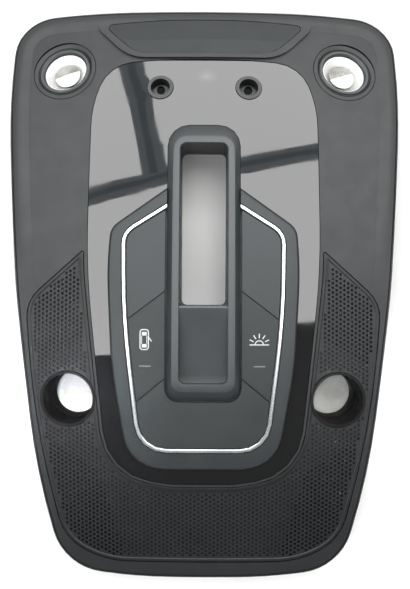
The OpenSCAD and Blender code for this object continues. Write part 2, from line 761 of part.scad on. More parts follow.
// Plates between the wells and before them, and at the corners
module deck_middle() {
    color("#2a2c2e") deck([[-screw_spacing / 2, deck_front_y], [screw_spacing / 2, deck_front_y],
        [screw_spacing / 2, screw_y], [-screw_spacing / 2, screw_y]]);
}
module deck_nose_middle() {
    color("#2a2c2e") deck([[-screw_spacing / 2, screw_y], [screw_spacing / 2, screw_y],
        [screw_spacing / 2, deck_reach], [-screw_spacing / 2, deck_reach]]);
}
module deck_nose() {
    color("#2a2c2e") deck([[screw_spacing / 2, screw_y], [deck_reach, screw_y],
        [deck_reach, deck_reach], [screw_spacing / 2, deck_reach]]);
}

// Housing: the walls between the deck and the rear cover, with posts for the cover's screws
module housing_wall() {
    color("#2a2c2e") difference() {
        union() {
            below(deck_low - seat, cover_t) difference() {
                polygon(loop(housing));
                polygon(loop(housing, -carrier_t));
            }
            each_side() for (s = cover_screw_sites) boss(s, boss_r + 0.5, cover_t, deck_low - seat);
        }
        each_side() for (s = cover_screw_sites) translate([s[0], s[1], cover_t - overshoot])
            cylinder(r = thread_r, h = 12);
    }
}
// Chute that lines the slot between the rail and the rear cover
module slot_chute() {
    color("#2a2c2e") translate([0, 0, cover_t]) linear_extrude(height = rail_foot_z - seam - cover_t)
        difference() {
            polygon(loop(slot, carrier_t));
            polygon(loop(slot));
        }
}

// Circuit board, with the light sources under the guides, and its connector
connector_size = [32, 16, 15];
connector_at = [0, -66];
module circuit_board() {
    color("#1f5a3a") translate([0, 0, board_z]) union() {
        linear_extrude(height = board_t) difference() {
            polygon(loop(board));
            polygon(loop(opening, rail_wall + 1));
            for (s = board_screw_sites, x = [-1, 1])
                translate([x * s[0], s[1]]) circle(r = thread_r + screw_play);
        }
        each_side() translate([guide_at[0] - 1.5, guide_at[1] - 1, board_t - 0.1])
            cube([3, 2, led_h + 0.1]);
    }
}
module main_connector() {
    pocket = [connector_size[0] - 3, connector_size[1] - 3, connector_size[2] - 4];
    color("#d8d4c8") translate([connector_at[0], connector_at[1], board_z - connector_size[2]])
        union() {
            difference() {
                translate([-connector_size[0] / 2, -connector_size[1] / 2, 0]) cube(connector_size);
                translate([-pocket[0] / 2, -pocket[1] / 2, -overshoot])
                    cube([pocket[0], pocket[1], pocket[2] + overshoot]);
            }
            for (i = [0:7], j = [-1, 1]) translate([(i - 3.5) * 3.2 - 0.4, j * 2.6 - 0.4, 2])
                cube([0.8, 0.8, pocket[2]]);
        }
}

// Rear cover: flat back plate with the slot and a well that leads to the connector
well = [connector_size[0] + 8, connector_size[1] + 8];
well_z = board_z - connector_size[2] - 1;
module rear_cover() {
    color("#303335") difference() {
        union() {
            linear_extrude(height = cover_t) polygon(loop(housing, -seam));
            translate([connector_at[0], connector_at[1], 0]) linear_extrude(height = well_z)
                square(well + [4, 4], center = true);
        }
        translate([connector_at[0], connector_at[1], -overshoot]) linear_extrude(height = console_d)
            square(well, center = true);
        translate([0, 0, -overshoot]) linear_extrude(height = console_d) polygon(loop(slot));
        each_side() for (s = cover_screw_sites) translate([s[0], s[1], 0]) {
            bore(thread_r + screw_play, -overshoot, console_d);
            bore(head_r + 0.4, -overshoot, head_h + 0.2);
        }
    }
}

// Fastenings
head_r = 2.4;
head_h = 1.5;
// Screw with its head's seat at Z = 0 and its shank pointing up
module screw(length) {
    bore(head_r, -head_h, 0);
    bore(thread_r - screw_play, -0.1, length);
}
module bezel_screws() {
    color("silver") each_side() for (s = bezel_screw_sites)
        on_face(s[0], s[1], deck_low - 0.1) screw(carrier_t + inlay_t);
}
module board_screws() {
    color("silver") each_side() for (s = board_screw_sites)
        translate([s[0], s[1], board_z]) screw(board_t + 5);
}
module cover_screws() {
    color("silver") each_side() for (s = cover_screw_sites)
        translate([s[0], s[1], head_h + 0.2]) screw(cover_t + 6);
}
// Spring clip folded over a rib, with two barbs that grip the roof frame
clip_t = 0.6;
module roof_clip(site) {
    w = clip_rib[0] / 2 + 0.1;
    low = dome_z(site[0], site[1], deck_low) - clip_rib[2];
    translate([site[0], site[1], low]) rotate([90, 0, 0])
        linear_extrude(height = clip_rib[1] - 4, center = true) polygon([
            [-w, 10], [-w, 0], [-w, -0.1], [w, -0.1], [w, 10], [w + clip_t, 10], [w + clip_t, 4],
            [w + 3, 5.5], [w + 3.2, 5], [w + clip_t, 0.4], [w + clip_t, -0.1 - clip_t],
            [-w - clip_t, -0.1 - clip_t], [-w - clip_t, 0.4], [-w - 3.2, 5], [-w - 3, 5.5],
            [-w - clip_t, 4], [-w - clip_t, 10]]);
}
module roof_clips() {
    color("#b9bcc0") each_side() for (s = clip_sites) roof_clip(s);
}

bezel();
grille_inlay();
indicator_window();
indicator_diffuser();
gloss_panel();
left() screw_collar();  // screw_collar_left
screw_collar();  // screw_collar_right
switch_surround();
trim_strip();
left() upper_blank();  // upper_blank_left
upper_blank();  // upper_blank_right
lower_cover();
centre_rail();
left() push_button();  // door_light_button
push_button();  // interior_light_button
left() light_guide();  // door_light_guide
light_guide();  // interior_light_guide
left() push_switch();  // door_light_switch
push_switch();  // interior_light_switch
left() lamp_ring();  // lamp_ring_left
lamp_ring();  // lamp_ring_right
left() lamp_reflector();  // lamp_reflector_left
lamp_reflector();  // lamp_reflector_right
left() lamp_lens();  // lamp_lens_left
lamp_lens();  // lamp_lens_right
left() lamp_board();  // lamp_board_left
lamp_board();  // lamp_board_right
left() lamp_housing();  // lamp_housing_left
lamp_housing();  // lamp_housing_right
left() socket();  // socket_left
socket();  // socket_right
left() microphone();  // microphone_left
microphone();  // microphone_right
carrier();
left() deck_side();  // deck_left
deck_side();  // deck_right
deck_middle();
left() deck_nose();  // deck_nose_left
deck_nose_middle();
deck_nose();  // deck_nose_right
left() screw_cup();  // screw_cup_left
screw_cup();  // screw_cup_right
housing_wall();
slot_chute();
circuit_board();
main_connector();
rear_cover();
roof_clips();
bezel_screws();
board_screws();
cover_screws();
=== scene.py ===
"""Looks of the car dome light: materials, the fine inlay, the lamp optics, prints and the stage."""

import math

import bpy
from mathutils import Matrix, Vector
from mathutils.geometry import delaunay_2d_cdt


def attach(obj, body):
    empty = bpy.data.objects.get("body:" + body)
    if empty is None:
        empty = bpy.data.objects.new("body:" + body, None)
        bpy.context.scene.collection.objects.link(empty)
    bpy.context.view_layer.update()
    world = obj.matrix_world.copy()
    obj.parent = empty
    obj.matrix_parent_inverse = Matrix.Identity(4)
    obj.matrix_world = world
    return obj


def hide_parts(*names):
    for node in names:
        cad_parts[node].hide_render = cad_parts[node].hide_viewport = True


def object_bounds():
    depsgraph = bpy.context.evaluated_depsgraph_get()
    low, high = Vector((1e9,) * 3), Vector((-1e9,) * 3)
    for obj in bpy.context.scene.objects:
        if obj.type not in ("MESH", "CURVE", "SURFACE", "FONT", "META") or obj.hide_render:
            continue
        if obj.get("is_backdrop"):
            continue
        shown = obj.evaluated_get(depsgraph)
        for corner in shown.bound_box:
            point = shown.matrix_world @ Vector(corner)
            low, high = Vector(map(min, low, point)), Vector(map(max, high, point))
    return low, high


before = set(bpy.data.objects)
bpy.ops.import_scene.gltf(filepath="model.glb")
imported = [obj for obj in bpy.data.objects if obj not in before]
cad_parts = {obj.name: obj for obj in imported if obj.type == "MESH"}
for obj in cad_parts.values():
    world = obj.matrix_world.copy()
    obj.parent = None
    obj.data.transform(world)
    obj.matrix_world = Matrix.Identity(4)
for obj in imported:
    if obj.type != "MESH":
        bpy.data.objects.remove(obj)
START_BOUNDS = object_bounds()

bl_info = {
    "name": "Car dome light looks",
    "version": (1, 0, 0),
    "blender": (4, 2, 0),
    "location": "3D View > Sidebar > Dome Light",
    "description": "Gives a packed overhead console its materials, inlay, lamp optics, prints and stage",
    "category": "Object",
}

MM = 0.001

# The dome that every face follows, in millimetres in the frame's axes
CROWN_Z = 60.8
DOME_R = 400.0
DOME_Y = -27.5

# Corners of the right half of the inlay and of the gloss panel, front to rear: x, y, fillet radius
INLAY_EDGE = [(90.5, -6.5, 18), (85, -72, 505), (71, -128.5, 26), (50, -140, 48)]
INLAY_TIP = (60.74, 20, 2.4)
PANEL_EDGE = [(59, 10, 400), (48, -93.5, 28), (16.5, -98.5, 39)]
INNER_LIP = 1.8

# Middle of the right socket and of the right lamp, and the lean of a lamp's axis in degrees
SOCKET = (68.5, -55.6)
SOCKET_HOLE_R = 14.25
LAMP = (74.0, 115.5)
LAMP_LEAN = 5.0

# A lamp's optic along its axis, and the rings of painted groove shade round it: their radii, and where their
# edges fade
LENS_R = 6.8
LENS_FOOT = -11.2
LENS_FACE = -4.0
GROOVE_SHADE_RADII = (14.5, 16.9)
GROOVE_SHADE_FADE = (0.12, 0.3)


def dome_z(x, y, h=0.0):
    """Height of the surface that runs h above the face."""
    return CROWN_Z - DOME_R + math.sqrt((DOME_R + h) ** 2 - x * x - (y - DOME_Y) ** 2)


def on_dome(x, y, h=0.0):
    """A point over the face, in metres."""
    return Vector((x * MM, y * MM, dome_z(x, y, h) * MM))


# Outlines

def both_sides(half):
    return list(half) + [(-x, y, r) for x, y, r in reversed(half)]


def directions(corners, i):
    """Unit vectors from corner i to the one before it and the one after it."""
    here = Vector(corners[i][:2])
    back = (Vector(corners[i - 1][:2]) - here).normalized()
    fore = (Vector(corners[(i + 1) % len(corners)][:2]) - here).normalized()
    return back, fore


def grown(corners, d):
    """The corners moved outwards by d, with fillets that stay concentric."""
    out = []
    for i, (x, y, r) in enumerate(corners):
        back, fore = directions(corners, i)
        a, b = Vector((-fore.y, fore.x)), Vector((back.y, -back.x))
        move = (a + b) * (d / (1 + a.dot(b)))
        bulge = 1 if fore.x * -back.y + fore.y * back.x > 0 else -1
        out.append((x + move.x, y + move.y, max(0.3, r + bulge * d)))
    return out


def fillets(corners, steps, longest):
    """For each corner its fillet's centre, start arm, signed turn and number of steps."""
    found = []
    for i, (x, y, r) in enumerate(corners):
        back, fore = directions(corners, i)
        turn = math.pi - math.acos(max(-1, min(1, back.dot(fore))))
        found.append((Vector((x, y)), r, turn, back, fore, r * math.tan(turn / 2)))
    out = []
    for i, (here, r, turn, back, fore, reach) in enumerate(found):
        before, after = found[i - 1], found[(i + 1) % len(found)]
        room = min((before[0] - here).length / (before[5] + reach),
                   (after[0] - here).length / (reach + after[5]))
        r *= min(1, 0.98 * room)
        arm = back * r * math.tan(turn / 2) - (back + fore).normalized() * r / math.cos(turn / 2)
        way = -turn if back.x * fore.y - back.y * fore.x > 0 else turn
        out.append((here + (back + fore).normalized() * r / math.cos(turn / 2), arm, way,
                    max(steps, math.ceil(r * turn / longest))))
    return out


def rounded(corners, steps, longest=4.0, like=None):
    """Points round the outline; like gives the outline whose number of points it takes over."""
    curves = fillets(corners, steps, longest)
    counts = [c[3] for c in fillets(like, steps, longest)] if like else [c[3] for c in curves]
    swept = []
    for (centre, arm, way, _), count in zip(curves, counts):
        turns = [way * k / count for k in range(count + 1)]
        swept.append([
            centre + Vector((arm.x * math.cos(w) - arm.y * math.sin(w),
                             arm.x * math.sin(w) + arm.y * math.cos(w)))
            for w in turns
        ])
    model = [rounded_ends(c) for c in fillets(like or corners, steps, longest)]
    full = []
    for i, points in enumerate(swept):
        j = (i + 1) % len(swept)
        parts = max(1, math.ceil((model[j][0] - model[i][1]).length / longest))
        gap = swept[j][0] - points[-1]
        full += points[:-1] + [points[-1] + gap * k / parts for k in range(parts)]
    return full


def rounded_ends(curve):
    """First and last point of a fillet."""
    centre, arm, way, _ = curve
    turned_arm = Vector((arm.x * math.cos(way) - arm.y * math.sin(way),
                         arm.x * math.sin(way) + arm.y * math.cos(way)))
    return centre + arm, centre + turned_arm


def inlay_corners():
    lip = grown(both_sides([(23.5, 120.5, 300), (50, 118, 20), (58.5, 95.5, 60)] + PANEL_EDGE), INNER_LIP)
    inner = [(-x, y, r) for x, y, r in lip[3:6]]
    return both_sides([INLAY_TIP] + INLAY_EDGE) + both_sides(inner)


def inside(p, loop):
    hit = False
    for a, b in zip(loop, loop[1:] + loop[:1]):
        if (a.y > p.y) != (b.y > p.y) and p.x < (b.x - a.x) * (p.y - a.y) / (b.y - a.y) + a.x:
            hit = not hit
    return hit


def ring(centre, r, count, turn=0.0):
    return [
        Vector((centre[0] + r * math.cos(turn + math.tau * k / count),
                centre[1] + r * math.sin(turn + math.tau * k / count)))
        for k in range(count)
    ]


# Meshes

def new_object(name, verts, faces, material, body, smooth=35):
    mesh = bpy.data.meshes.new(name)
    mesh.from_pydata([tuple(v) for v in verts], [], faces)
    mesh.validate()
    obj = bpy.data.objects.new(name, mesh)
    bpy.context.scene.collection.objects.link(obj)
    mesh.materials.append(material)
    mesh.shade_smooth()
    for edge, sharp in zip(mesh.edges, sharp_edges(mesh, math.radians(smooth))):
        edge.use_edge_sharp = sharp
    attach(obj, body)
    return obj


def sharp_edges(mesh, limit):
    sides = {}
    for face in mesh.polygons:
        for key in face.edge_keys:
            sides.setdefault(key, []).append(face.normal)
    return [
        len(sides.get(edge.key, [])) != 2 or sides[edge.key][0].angle(sides[edge.key][1], 0) > limit
        for edge in mesh.edges
    ]


class Sheet:
    """Collects a closed mesh that is built from flat loops lifted onto surfaces."""

    def __init__(self):
        self.verts = []
        self.faces = []

    def loop(self, points, height):
        """Adds a loop; height is a function of x and y, in millimetres above the face."""
        first = len(self.verts)
        self.verts += [on_dome(p.x, p.y, height(p.x, p.y)) for p in points]
        return list(range(first, first + len(points)))


class Relief:
    """A plate drawn in plan: loops with heights in millimetres above the face, meshed together."""

    def __init__(self):
        self.points = []
        self.heights = []
        self.edges = []

    def loop(self, points, height):
        first, count = len(self.points), len(points)
        self.points += points
        self.heights += [height(p) if callable(height) else height for p in points]
        self.edges += [(first + k, first + (k + 1) % count) for k in range(count)]

    def build(self, solid, low, height):
        """Vertices and faces; solid tells plate from hole, and height serves where loops cross."""
        flat, _, triangles, origin, _, _ = delaunay_2d_cdt(self.points, self.edges, [], 1, 1e-5, True)
        tops = [self.heights[o[0]] if o else height(p) for p, o in zip(flat, origin)]
        verts = [on_dome(p.x, p.y, h) for p, h in zip(flat, tops)]
        faces = self.solid_triangles(flat, triangles, solid)
        sides = {(f[k], f[(k + 1) % 3]) for f in faces for k in range(3)}
        border = [(a, b) for a, b in sides if (b, a) not in sides]
        rim = sorted({a for a, _ in border})
        under = {v: len(verts) + k for k, v in enumerate(rim)}
        verts += [on_dome(flat[v].x, flat[v].y, low) for v in rim]
        for a, b in border:
            faces.append((b, a, under[a], under[b]))
        place = {v: k for k, v in enumerate(rim)}
        outline = [(place[a], place[b]) for a, b in border]
        plain = [flat[v] for v in rim]
        spots, _, floor, source, _, _ = delaunay_2d_cdt(plain, outline, [], 1, 1e-5, True)
        for f in self.solid_triangles(spots, floor, solid):
            faces.append(tuple(under[rim[source[v][0]]] for v in reversed(f)))
        return verts, faces

    def solid_triangles(self, flat, triangles, solid):
        out = []
        for f in triangles:
            a, b, c = (flat[v] for v in f)
            if solid((a + b + c) / 3):
                turn = (b.x - a.x) * (c.y - a.y) - (b.y - a.y) * (c.x - a.x)
                out.append(tuple(f) if turn > 0 else tuple(reversed(f)))
        return out


def turned(profile, place, steps=64):
    """Vertices and faces of a profile of (radius, height) turned about Z; a radius of 0 closes it."""
    verts, faces, rows = [], [], []
    for r, h in profile:
        first = len(verts)
        if r == 0:
            verts.append(place(0, 0, h))
            rows.append([first] * steps)
        else:
            for k in range(steps):
                w = math.tau * k / steps
                verts.append(place(r * math.cos(w), r * math.sin(w), h))
            rows.append(list(range(first, first + steps)))
    pairs = list(zip(rows, rows[1:]))
    if profile[0][0] != 0:
        pairs.append((rows[-1], rows[0]))
    for a, b in pairs:
        for k in range(steps):
            j = (k + 1) % steps
            face = []
            for v in (a[k], a[j], b[j], b[k]):
                if v not in face:
                    face.append(v)
            if len(face) > 2:
                faces.append(tuple(face))
    return verts, faces


def face_frame(x, y, lean=0.0):
    """A function that puts a point in a frame on the face, with Z on the dome's radius plus a lean."""
    out = Vector((x, y - DOME_Y))
    around = math.atan2(out.y, out.x)
    tilt = math.asin(out.length / DOME_R) + math.radians(lean)
    z_axis = Vector((math.cos(around) * math.sin(tilt), math.sin(around) * math.sin(tilt), math.cos(tilt)))
    along = Vector((math.cos(around) * math.cos(tilt), math.sin(around) * math.cos(tilt), -math.sin(tilt)))
    across = Vector((-math.sin(around), math.cos(around), 0))
    x_axis = along * math.cos(around) - across * math.sin(around)
    y_axis = along * math.sin(around) + across * math.cos(around)
    origin = Vector((x, y, dome_z(x, y)))

    def place(u, v, w):
        return (origin + x_axis * u + y_axis * v + z_axis * w) * MM

    return place


# Materials

def linear(hex_colour):
    """An sRGB hex colour as the linear colour that a shader takes."""
    parts = [int(hex_colour[i : i + 2], 16) / 255 for i in (1, 3, 5)]
    return tuple(c / 12.92 if c <= 0.04045 else ((c + 0.055) / 1.055) ** 2.4 for c in parts) + (1,)


def add(tree, kind, inputs=(), **settings):
    """Adds a node; each input is a value, or a node and the name of its output."""
    made = tree.nodes.new(kind)
    for name, value in settings.items():
        setattr(made, name, value)
    for name, value in dict(inputs).items():
        socket = made.inputs[name]
        if isinstance(value, tuple) and len(value) == 2 and hasattr(value[0], "outputs"):
            tree.links.new(value[0].outputs[value[1]], socket)
        else:
            socket.default_value = value
    return made


def scale(size_mm):
    """Texture scale that gives features of about this size."""
    return 1000 / size_mm


def start(name):
    material = bpy.data.materials.new(name)
    material.use_nodes = True
    tree = material.node_tree
    tree.nodes.clear()
    place = add(tree, "ShaderNodeTexCoord")
    return material, tree, (place, "Object")


def end(tree, shader):
    add(tree, "ShaderNodeOutputMaterial", {"Surface": (shader, "BSDF")})


def noise(tree, place, size_mm, detail=3.0, roughness=0.5):
    return add(tree, "ShaderNodeTexNoise",
               {"Vector": place, "Scale": scale(size_mm), "Detail": detail, "Roughness": roughness})


def spread(tree, source, low, high, output="Fac", span=(0.3, 0.7)):
    """Maps a texture's middle range onto low to high."""
    return add(tree, "ShaderNodeMapRange",
               {"Value": (source, output), "From Min": span[0], "From Max": span[1],
                "To Min": low, "To Max": high})


def tint(tree, factor, dark, light):
    return add(tree, "ShaderNodeMix", {0: (factor, "Result"), 6: linear(dark), 7: linear(light)},
               data_type="RGBA")


def bump(tree, source, output, depth_mm, strength=1.0, under=None):
    inputs = {"Height": (source, output), "Distance": depth_mm * MM, "Strength": strength}
    if under:
        inputs["Normal"] = (under, "Normal")
    return add(tree, "ShaderNodeBump", inputs)


def eroded_plastic(name, dark, light, rough=0.55, grain_mm=0.45, depth_mm=0.02, sheen=0.5):
    """Injection-moulded plastic with a spark-eroded grain: fine pits, slow mottling and a faint haze.

    A real grain is near 0.1 mm, too fine to show, so its pits are drawn a few times as coarse.
    """
    material, tree, place = start(name)
    mottle = noise(tree, place, 38, 4)
    haze = noise(tree, place, 9, 3)
    grain = noise(tree, place, grain_mm, 2, 0.6)
    pits = add(tree, "ShaderNodeTexVoronoi", {"Vector": place, "Scale": scale(grain_mm * 2.2)})
    fine = bump(tree, grain, "Fac", depth_mm)
    rough_skin = bump(tree, pits, "Distance", depth_mm * 0.8, 0.6, fine)
    shade = tint(tree, spread(tree, mottle, 0, 1), dark, light)
    gloss = spread(tree, haze, rough - 0.04, rough + 0.05)
    end(tree, add(tree, "ShaderNodeBsdfPrincipled", {
        "Base Color": (shade, 2), "Roughness": (gloss, "Result"), "IOR": 1.5,
        "Specular IOR Level": sheen, "Normal": (rough_skin, "Normal")}))
    return material


def paint_groove_shade(material):
    """Paints shade as two fine dark rings round each lamp, where its grooves are, into the moulding's colour
    and sheen.
    """
    tree = material.node_tree
    shader = next(n for n in tree.nodes if n.type == "BSDF_PRINCIPLED")
    point = face_frame(LAMP[0], LAMP[1], LAMP_LEAN)
    centre = point(0, 0, 0)
    axis = (point(0, 0, 1) - centre).normalized()
    place = add(tree, "ShaderNodeTexCoord")
    parts = add(tree, "ShaderNodeSeparateXYZ", {0: (place, "Object")})
    right = add(tree, "ShaderNodeMath", {0: (parts, 0)}, operation="ABSOLUTE")
    mirrored = add(tree, "ShaderNodeCombineXYZ", {0: (right, 0), 1: (parts, 1), 2: (parts, 2)})
    offset = add(tree, "ShaderNodeVectorMath", {0: (mirrored, 0), 1: tuple(centre)}, operation="SUBTRACT")
    arm = add(tree, "ShaderNodeVectorMath", {0: (offset, 0), 1: tuple(axis)}, operation="CROSS_PRODUCT")
    radius = add(tree, "ShaderNodeVectorMath", {0: (arm, 0)}, operation="LENGTH")
    lines = []
    for groove_r in GROOVE_SHADE_RADII:
        away = add(tree, "ShaderNodeMath", {0: (radius, 1), 1: groove_r * MM}, operation="SUBTRACT")
        near = add(tree, "ShaderNodeMath", {0: (away, 0)}, operation="ABSOLUTE")
        lines.append(add(tree, "ShaderNodeMapRange", {
            "Value": (near, 0), "From Min": GROOVE_SHADE_FADE[0] * MM, "From Max": GROOVE_SHADE_FADE[1] * MM,
            "To Min": 1.0, "To Max": 0.0}))
    groove_shade_mask = add(tree, "ShaderNodeMath", {0: (lines[0], 0), 1: (lines[1], 0)}, operation="MAXIMUM")
    colour = shader.inputs["Base Color"].links[0].from_socket
    # Painted shade: the rings darken the base colour, as shade in the lamp grooves would.
    dark = add(tree, "ShaderNodeMix", {0: (groove_shade_mask, 0), 7: linear("#060707")}, data_type="RGBA")
    tree.links.new(colour, dark.inputs[6])
    tree.links.new(dark.outputs[2], shader.inputs["Base Color"])
    level = shader.inputs["Specular IOR Level"].default_value
    # Painted shade: the sheen drops in the rings too, so the grooves reflect nothing.
    sheen = add(tree, "ShaderNodeMapRange", {"Value": (groove_shade_mask, 0), "To Min": level, "To Max": 0.03})
    tree.links.new(sheen.outputs[0], shader.inputs["Specular IOR Level"])
    return material


def soft_touch_paint(name, dark, light, rough=0.5, sheen=0.5):
    """Sprayed soft-touch paint: an even colour with tiny orange peel and a few settled specks."""
    material, tree, place = start(name)
    wander = noise(tree, place, 22, 3)
    peel = noise(tree, place, 0.7, 2)
    specks = noise(tree, place, 0.25, 1)
    shade = tint(tree, spread(tree, wander, 0, 1), dark, light)
    dust = spread(tree, specks, 0.0, 0.03, span=(0.68, 0.8))
    dusty = add(tree, "ShaderNodeMix", {0: (dust, "Result"), 6: (shade, 2), 7: linear("#8a8a86")},
                data_type="RGBA")
    gloss = spread(tree, wander, rough - 0.03, rough + 0.04)
    end(tree, add(tree, "ShaderNodeBsdfPrincipled", {
        "Base Color": (dusty, 2), "Roughness": (gloss, "Result"), "IOR": 1.48,
        "Specular IOR Level": sheen, "Normal": (bump(tree, peel, "Fac", 0.008), "Normal")}))
    return material


def piano_black(name):
    """High-gloss black moulding: a polished skin with faint moulding waves, smears and a little dust."""
    material, tree, place = start(name)
    wave = noise(tree, place, 45, 1)
    smear = noise(tree, place, 16, 4, 0.6)
    specks = noise(tree, place, 0.5, 1)
    dust = spread(tree, specks, 0.0, 0.35, span=(0.74, 0.82))
    shade = add(tree, "ShaderNodeMix", {0: (dust, "Result"), 6: linear("#0b0c0d"), 7: linear("#3a3a38")},
                data_type="RGBA")
    gloss = spread(tree, smear, 0.02, 0.06, span=(0.35, 0.75))
    end(tree, add(tree, "ShaderNodeBsdfPrincipled", {
        "Base Color": (shade, 2), "Roughness": (gloss, "Result"), "IOR": 1.52,
        "Normal": (bump(tree, wave, "Fac", 0.05, 0.35), "Normal")}))
    return material


def satin_chrome(name):
    """Plated trim: bright satin chrome over plastic with a fine lengthwise grain and small tarnish."""
    material, tree, place = start(name)
    grain = noise(tree, place, 0.3, 2)
    cloud = noise(tree, place, 12, 3)
    shade = tint(tree, spread(tree, cloud, 0, 1), "#c0c2c4", "#d4d6d7")
    gloss = spread(tree, grain, 0.24, 0.34)
    end(tree, add(tree, "ShaderNodeBsdfPrincipled", {
        "Base Color": (shade, 2), "Metallic": 1.0, "Roughness": (gloss, "Result"),
        "Normal": (bump(tree, grain, "Fac", 0.004), "Normal")}))
    return material


def reflector_painted_reflection(name):
    """Glossy reflector whose white is painted reflection of the bright ceiling in a metallised bowl, with
    faint facets and slight cloudiness.
    """
    material, tree, place = start(name)
    facets = add(tree, "ShaderNodeTexVoronoi", {"Vector": place, "Scale": scale(3.2)})
    cloud = noise(tree, place, 5, 3)
    # Painted reflection: the near-white colour stands in for the bright ceiling mirrored in the reflector's
    # bowl.
    shade = tint(tree, spread(tree, cloud, 0, 1), "#e0e0de", "#eaeae8")
    gloss = spread(tree, cloud, 0.2, 0.32)
    end(tree, add(tree, "ShaderNodeBsdfPrincipled", {
        "Base Color": (shade, 2), "Roughness": (gloss, "Result"), "IOR": 1.5,
        "Normal": (bump(tree, facets, "Distance", 0.03, 0.3), "Normal")}))
    return material


def lamp_optic(name, centre, lean_deg):
    """Moulded lamp optic with painted light and shade: pale as painted light on one side of a straight line
    through its middle, grey as painted shade on the other.
    """
    material, tree, place = start(name)
    flow = noise(tree, place, 3, 2)
    film = noise(tree, place, 0.8, 2)
    offset = add(tree, "ShaderNodeVectorMath", {0: place, 1: tuple(centre)}, operation="SUBTRACT")
    lean = math.radians(lean_deg)
    across = (-math.sin(lean), math.cos(lean), 0)
    side = add(tree, "ShaderNodeVectorMath", {0: (offset, 0), 1: across}, operation="DOT_PRODUCT")
    blend = 0.15 * MM
    half = add(tree, "ShaderNodeMapRange", {"Value": (side, 1), "From Min": -blend, "From Max": blend})
    # Painted light and shade: the pale colour is the lit half of the lens and the grey colour the shaded
    # half, split along a straight line.
    opal = tint(tree, spread(tree, flow, 0, 1), "#dadad6", "#e4e4e0")
    shaded_half = tint(tree, spread(tree, flow, 0, 1), "#7f7f78", "#93938c")
    shade = add(tree, "ShaderNodeMix", {0: (half, "Result"), 6: (opal, 2), 7: (shaded_half, 2)},
                data_type="RGBA")
    gloss = spread(tree, film, 0.16, 0.3)
    end(tree, add(tree, "ShaderNodeBsdfPrincipled", {
        "Base Color": (shade, 2), "Roughness": (gloss, "Result"), "IOR": 1.58,
        "Normal": (bump(tree, flow, "Fac", 0.02, 0.4), "Normal")}))
    return material


def clear_polycarbonate(name):
    """Clear moulded optic: polycarbonate with faint flow lines and a lightly frosted back."""
    material, tree, place = start(name)
    flow = noise(tree, place, 3, 2)
    gloss = spread(tree, flow, 0.03, 0.12)
    end(tree, add(tree, "ShaderNodeBsdfPrincipled", {
        "Base Color": linear("#f4f6f7"), "Transmission Weight": 0.85, "Roughness": (gloss, "Result"),
        "IOR": 1.585, "Normal": (bump(tree, flow, "Fac", 0.02, 0.5), "Normal")}))
    return material


def frosted_diffuser(name):
    """Opal polycarbonate: milky, slightly translucent and matt."""
    material, tree, place = start(name)
    cloud = noise(tree, place, 6, 3)
    shade = tint(tree, spread(tree, cloud, 0, 1), "#dcdcd6", "#ecece8")
    end(tree, add(tree, "ShaderNodeBsdfPrincipled", {
        "Base Color": (shade, 2), "Roughness": 0.6, "IOR": 1.58, "Subsurface Weight": 0.2,
        "Subsurface Scale": 2 * MM, "Normal": (bump(tree, cloud, "Fac", 0.01), "Normal")}))
    return material


def circuit_laminate(name):
    """Glass-fibre board: green solder mask over a weave, with slightly raised copper."""
    material, tree, place = start(name)
    weave = add(tree, "ShaderNodeTexWave", {"Vector": place, "Scale": scale(5), "Distortion": 1.5})
    tracks = add(tree, "ShaderNodeTexBrick", {"Vector": place, "Scale": scale(9), "Mortar Size": 0.03})
    patch = noise(tree, place, 7, 3)
    shade = tint(tree, spread(tree, patch, 0, 1), "#17472c", "#22603b")
    lined = add(tree, "ShaderNodeMix", {0: (tracks, "Fac"), 6: (shade, 2), 7: linear("#2f7a4c")},
                data_type="RGBA")
    under = bump(tree, weave, "Fac", 0.01, 0.5)
    end(tree, add(tree, "ShaderNodeBsdfPrincipled", {
        "Base Color": (lined, 2), "Roughness": 0.35, "IOR": 1.55,
        "Normal": (bump(tree, tracks, "Fac", 0.03, 0.6, under), "Normal")}))
    return material


def zinc_plated_steel(name):
    """Zinc-plated spring and screw steel: bright grey with a crystalline bloom and wear."""
    material, tree, place = start(name)
    bloom = add(tree, "ShaderNodeTexVoronoi", {"Vector": place, "Scale": scale(1.6)})
    wear = noise(tree, place, 2.2, 4)
    shade = tint(tree, spread(tree, wear, 0, 1), "#a9abad", "#c6c8ca")
    gloss = spread(tree, bloom, 0.28, 0.42, "Distance")
    end(tree, add(tree, "ShaderNodeBsdfPrincipled", {
        "Base Color": (shade, 2), "Metallic": 1.0, "Roughness": (gloss, "Result"),
        "Normal": (bump(tree, wear, "Fac", 0.006), "Normal")}))
    return material


def tampo_ink(name, colour):
    """Pad-printed ink: opaque and satin, with a slightly uneven film."""
    material, tree, place = start(name)
    film = noise(tree, place, 0.6, 2)
    gloss = spread(tree, film, 0.4, 0.55)
    end(tree, add(tree, "ShaderNodeBsdfPrincipled", {
        "Base Color": linear(colour), "Roughness": (gloss, "Result"), "IOR": 1.5,
        "Normal": (bump(tree, film, "Fac", 0.004), "Normal")}))
    return material


def white_table(name):
    """Painted table top under the object: near white, matt, with faint wiping marks."""
    material, tree, place = start(name)
    wipe = noise(tree, place, 120, 3)
    scuff = noise(tree, place, 3, 4)
    shade = tint(tree, spread(tree, wipe, 0, 1), "#f6f6f5", "#fafaf9")
    end(tree, add(tree, "ShaderNodeBsdfPrincipled", {
        "Base Color": (shade, 2), "Roughness": (spread(tree, scuff, 0.75, 0.85), "Result"),
        "Specular IOR Level": 0.1}))
    return material


def lamp_point(side):
    """Middle of a lamp's optic, in metres."""
    return face_frame(side * LAMP[0], LAMP[1], LAMP_LEAN)(0, 0, LENS_FACE)


MATERIALS = {}


